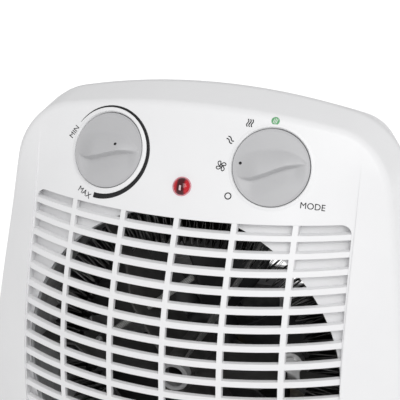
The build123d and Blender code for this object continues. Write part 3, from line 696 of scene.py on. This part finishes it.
def add_fan_sign():
    """Four outlined petals, the sign for the fan alone."""
    centre, first_turn, stroke, steps = (-23.8, -0.3), 25, 0.42, 20
    for petal in range(4):
        turn = math.radians(90 * petal + first_turn)
        points = []
        for step in range(steps):
            angle = 2 * math.pi * step / steps
            along = 1.25 + 1.2 * math.cos(angle)
            across = 1.05 * math.sin(angle) * (0.6 + 0.4 * math.cos(angle)) + 0.3 * (1 - math.cos(angle))
            points.append(turned(along, across, turn, centre))
        add_print(f"print_fan_petal_{petal + 1}", MODE, *strip(points, [stroke] * len(points), closed=True))


def add_frost_sign():
    """Green disc with pale curved lines, the sign for the frost guard."""
    centre, radius, rings, steps = (0.6, 21.9), 1.95, 4, 24
    points = [centre]
    for ring in range(1, rings + 1):
        points += [clock_point(360 * step / steps, radius * ring / rings, centre) for step in range(steps)]
    faces = [(0, 1 + step, 1 + (step + 1) % steps) for step in range(steps)]
    for ring in range(rings - 1):
        start = 1 + steps * ring
        for step in range(steps):
            after = (step + 1) % steps
            faces.append((start + step, start + after, start + steps + after, start + steps + step))
    add_print("print_frost_disc", MODE, points, faces, "ink_green")

    line_length, line_steps, stroke = 2.7, 10, 0.34
    for index, shift in enumerate((-0.75, 0.0, 0.75)):
        line = []
        for step in range(line_steps + 1):
            along = (step / line_steps - 0.5) * line_length * (1 - 0.25 * abs(shift))
            line.append((centre[0] + shift + 0.28 * math.sin(2.2 * along), centre[1] + along))
        outline, faces = strip(line, [stroke] * len(line))
        verts = [on_shell(MODE, u, v) + MODE.normal * PRINT_SHEET * MM for u, v in outline]
        obj = add_piece(f"print_frost_line_{index + 1}", verts, faces, "casing", "casing_white", "ink_pale")
        thicken(obj, PRINT_SHEET * MM, 0.0)


def add_label(name, text, panel, centre, height, turn):
    """Word printed on the panel, its capitals height millimetres tall, turned anticlockwise in degrees."""
    curve = bpy.data.curves.new(name, "FONT")
    curve.body = text
    curve.align_x = "CENTER"
    curve.align_y = "CENTER"
    curve.size = height / CAPITAL_SHARE
    curve.offset = LABEL_BOLD
    curve.resolution_u = 4
    holder = bpy.data.objects.new(name + "_outline", curve)
    bpy.context.scene.collection.objects.link(holder)
    bpy.context.view_layer.update()
    flat = bpy.data.meshes.new_from_object(holder.evaluated_get(bpy.context.evaluated_depsgraph_get()))
    bpy.data.objects.remove(holder)
    points = [turned(vertex.co.x, vertex.co.y, math.radians(turn), centre) for vertex in flat.vertices]
    add_print(name, panel, points, [tuple(p.vertices) for p in flat.polygons])


def add_knob_dot(name, panel, rest, place, radius, body):
    """Pointer dot printed on a knob's face."""
    steps = 18
    points = [place] + [clock_point(360 * step / steps, radius, place) for step in range(steps)]
    verts = []
    for u, v in points:
        x, y = turned(u, v, -math.radians(rest))
        verts.append(panel.at(u, v, knob_height(x / KNOB_RADIUS, y / KNOB_RADIUS) + PRINT_LIFT))
    faces = [(0, 1 + step, 1 + (step + 1) % steps) for step in range(steps)]
    obj = add_piece(name, verts, faces, body, "knob_grey", "ink_black")
    thicken(obj, PRINT_SHEET * MM, 0.0)


def add_prints():
    add_heat_scale()
    add_label("print_min", "MIN", THERMOSTAT, (-20.9, 6.0), 2.7, 63)
    add_label("print_max", "MAX", THERMOSTAT, (-8.6, -22.2), 2.8, -24)
    add_label("print_mode", "MODE", MODE, (20.4, -17.0), 3.0, -3)
    add_ring_print("print_off", MODE, (-19.4, -14.3), 1.45, 0.52)
    add_fan_sign()
    add_wave_prints("print_low_heat", MODE, (-20.3, 12.1), 2, 52, 1.35)
    add_wave_prints("print_high_heat", MODE, (-11.4, 20.4), 3, -4, 1.1)
    add_frost_sign()
    add_knob_dot("thermostat_dot", THERMOSTAT, THERMOSTAT_REST, (5.1, 3.2), 0.72, "thermostat_dial")
    add_knob_dot("mode_dot", MODE, MODE_REST, (-14.5, 1.3), 0.72, "mode_dial")


# ---------------------------------------------------------------- indicator lamp


def spun(panel, profile, steps=48):
    """Points and faces of a profile of (radius, height) spun about a panel's normal."""
    verts = []
    for radius, height in profile:
        for step in range(steps):
            u, v = clock_point(360 * step / steps, radius)
            verts.append(panel.at(u, v, height))
    return verts, grid_faces(len(profile), steps, wrap=True)


def add_lens():
    """Domed red lens over a thin pale flange."""
    flange = [(3.9, 0.2), (4.3, 0.42), (4.62, 0.3), (4.7, 0.0), (4.7, -0.45), (3.9, -0.45), (3.9, 0.2)]
    verts, faces = spun(LAMP, flange)
    add_piece("lamp_flange", verts, faces, "casing", "lens_red", "lens_flange", sharp=60)
    outside, inside = [], []
    for degrees in range(0, 90, 6):
        angle = math.radians(degrees)
        outside.append((LENS_RADIUS * math.cos(angle), LENS_SEAT + LENS_RISE * math.sin(angle)))
    for degrees in range(2, 90, 8):
        angle = math.radians(degrees)
        inside.append((LENS_BORE * math.sin(angle), 0.1 + LENS_BORE_RISE * math.cos(angle)))
    crown = [(0.01, LENS_SEAT + LENS_RISE), (0.01, 0.1 + LENS_BORE_RISE)]
    barrel = [(LENS_BORE, -2.0), (LENS_BORE, LENS_BARREL_END), (LENS_BARREL, LENS_BARREL_END), (LENS_BARREL, -0.4),
              (LENS_RADIUS, -0.4), (LENS_RADIUS, LENS_SEAT)]
    verts, faces = spun(LAMP, outside + crown + inside + barrel)
    add_piece("lamp_lens", verts, faces, "casing", "lens_red", sharp=60, replaces=["indicator_lens"])


# ---------------------------------------------------------------- heating element


def axis_point(radius, angle, y, axis):
    """Point at a radius and angle about the outlet's axis, the angle measured from +X towards +Z."""
    return Vector((axis.x + radius * math.cos(angle), y, axis.z + radius * math.sin(angle)))


AXIS = Vector(JOINTS["fan_spin"]["pos_m"])


def add_ribbon(name, node, pleats, phase):
    """Resistance ribbon folded to and fro, with rounded folds and a slight wander."""
    low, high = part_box(node)
    depth = high.y - low.y
    wander, bulge = 0.0006, 0.0007
    rows = []
    for row in range(3):
        y = low.y + depth * (0.04 + 0.46 * row)
        for fold in range(2 * pleats):
            outwards = fold % 2
            radius = (RIBBON_OUTER if outwards else RIBBON_INNER) * MM
            radius += wander * math.sin(3.1 * fold + phase)
            middle = math.pi * (fold + 0.12 * math.sin(1.7 * fold + phase)) / pleats
            spread = 0.16 * math.pi / pleats
            lift = bulge if outwards else -bulge
            rows.append(axis_point(radius, middle - spread, y, AXIS))
            rows.append(axis_point(radius + lift, middle, y, AXIS))
            rows.append(axis_point(radius, middle + spread, y, AXIS))
    faces = grid_faces(3, 6 * pleats, wrap=True)
    obj = add_piece(name, rows, faces, "casing", "ribbon_alloy", sharp=80, replaces=[node])
    thicken(obj, 0.00022, 0.0)


# ---------------------------------------------------------------- fan


def add_blade(index, tip, middle):
    """Swept and twisted blade, cut a little narrower at its tip."""
    around, along = 14, 16
    root = FAN_HUB * 0.92
    verts = []
    for i in range(along):
        s = i / (along - 1)
        radius = root + (tip - root) * s
        width = math.radians(BLADE_ANGLE) * (1 - 0.32 * smoothstep(0.8, 1.0, s) ** 2)
        sweep = math.radians(BLADE_SWEEP) * s * s
        pitch = BLADE_PITCH * (1 - 0.18 * s)
        for j in range(around):
            c = 2 * j / (around - 1) - 1
            angle = 2 * math.pi * index / FAN_BLADES + sweep + width * c / 2
            y = middle - pitch * c + BLADE_CAMBER * (1 - c * c) * s
            verts.append(axis_point(radius, angle, y, AXIS))
    faces = grid_faces(along, around)
    obj = add_piece(f"fan_blade_{index + 1}", verts, faces, "fan_rotor", "fan_black", sharp=60)
    thicken(obj, BLADE_SHEET, 0.0)
    smooth = obj.modifiers.new("smooth", "SUBSURF")
    smooth.levels = 1
    smooth.render_levels = 1


def add_fan():
    """Axial fan: a domed hub with a sleeve for the shaft, and its blades."""
    low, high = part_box("fan_impeller")
    tip = (high.x - low.x) / 2 - 0.0003
    front, rear = low.y, high.y
    for index in range(FAN_BLADES):
        add_blade(index, tip, (front + rear) / 2)
    bore, sleeve, steps = 0.0026, 0.0055, 56
    inner, lip = FAN_HUB - FAN_HUB_WALL, rear - 0.002
    profile = [(bore, front + 0.002), (0.0045, front + 0.0012), (0.0085, front + 0.0003), (0.0115, front + 0.0009),
               (0.0134, front + 0.0028), (FAN_HUB, front + 0.0052), (FAN_HUB, lip), (inner, lip),
               (inner, front + 0.006), (sleeve, front + 0.006), (sleeve, lip), (bore, lip), (bore, front + 0.002)]
    verts = []
    for radius, y in profile:
        verts += [axis_point(radius, 2 * math.pi * step / steps, y, AXIS) for step in range(steps)]
    faces = grid_faces(len(profile), steps, wrap=True)
    add_piece("fan_hub", verts, faces, "fan_rotor", "fan_black", sharp=45, replaces=["fan_impeller"])


# ---------------------------------------------------------------- studio


def add_floor():
    """White paper under the heater, which glows a little behind it."""
    stops = [(step / FLOOR_STEPS - 0.5) * FLOOR_SIZE for step in range(FLOOR_STEPS + 1)]
    points = [(x, y, 0.0) for y in stops for x in stops]
    mesh = bpy.data.meshes.new("floor")
    mesh.from_pydata(points, [], grid_faces(len(stops), len(stops)))
    recipe = Recipe("floor_paper")
    recipe.colours(recipe.noise(3, 2), (0.93, 0.93, 0.93), (0.95, 0.95, 0.95))
    split = recipe.add("ShaderNodeSeparateXYZ")
    recipe.link(recipe.coords.outputs["Object"], split.inputs["Vector"])
    glow = recipe.add("ShaderNodeMapRange")
    glow.inputs["From Min"].default_value = -0.1
    glow.inputs["From Max"].default_value = 0.25
    glow.inputs["To Max"].default_value = 0.5
    recipe.link(split.outputs["Y"], glow.inputs["Value"])
    recipe.link(glow.outputs["Result"], recipe.shader.inputs["Emission Strength"])
    recipe.set(Roughness=0.9, Specular_IOR_Level=0.1, Emission_Color=(1, 1, 1, 1))
    mesh.materials.append(recipe.material)
    floor = bpy.data.objects.new("floor", mesh)
    bpy.context.scene.collection.objects.link(floor)


def add_key():
    """One large soft light, high up at the right."""
    light = bpy.data.lights.new("key", "AREA")
    light.energy = KEY_POWER
    light.size = KEY_SIZE
    holder = bpy.data.objects.new("key", light)
    holder.location = KEY_AT
    holder.rotation_euler = (Vector(KEY_TARGET) - Vector(KEY_AT)).to_track_quat("-Z", "Y").to_euler()
    bpy.context.scene.collection.objects.link(holder)


def add_camera():
    camera = bpy.data.cameras.new("camera")
    camera.lens = CAMERA_LENS
    camera.sensor_width = CAMERA_SENSOR
    holder = bpy.data.objects.new("camera", camera)
    at, target = Vector(CAMERA_AT), Vector(CAMERA_TARGET)
    back = (at - target).normalized()
    right = Vector((0, 0, 1)).cross(back).normalized()
    up = back.cross(right)
    roll = math.radians(CAMERA_ROLL)
    rolled_right = right * math.cos(roll) + up * math.sin(roll)
    rolled_up = up * math.cos(roll) - right * math.sin(roll)
    turn = Matrix((rolled_right, rolled_up, back)).transposed()
    holder.matrix_world = Matrix.Translation(at) @ turn.to_4x4()
    bpy.context.scene.collection.objects.link(holder)
    bpy.context.scene.camera = holder


def add_studio():
    scene = bpy.context.scene
    scene.view_settings.view_transform = "Standard"
    world = bpy.data.worlds.new("studio")
    world.use_nodes = True
    world.node_tree.nodes["Background"].inputs["Color"].default_value = (1, 1, 1, 1)
    world.node_tree.nodes["Background"].inputs["Strength"].default_value = SKY_STRENGTH
    scene.world = world
    add_key()


dress_cad_nodes()
round_edges("front_grille", 0.75)
round_edges("front_shell", 0.35)
round_edges("rear_shell", 0.4)
add_knob("thermostat_dial_face", THERMOSTAT, THERMOSTAT_REST, "thermostat_dial", "thermostat_knob")
add_knob("mode_dial_face", MODE, MODE_REST, "mode_dial", "mode_knob")
add_collar("thermostat_collar", THERMOSTAT)
add_collar("mode_collar", MODE)
add_prints()
add_lens()
add_ribbon("ribbon_front", "front_ribbon", FRONT_PLEATS, 0.3)
add_ribbon("ribbon_rear", "rear_ribbon", REAR_PLEATS, 1.9)
add_fan()
add_floor()
add_studio()
add_camera()
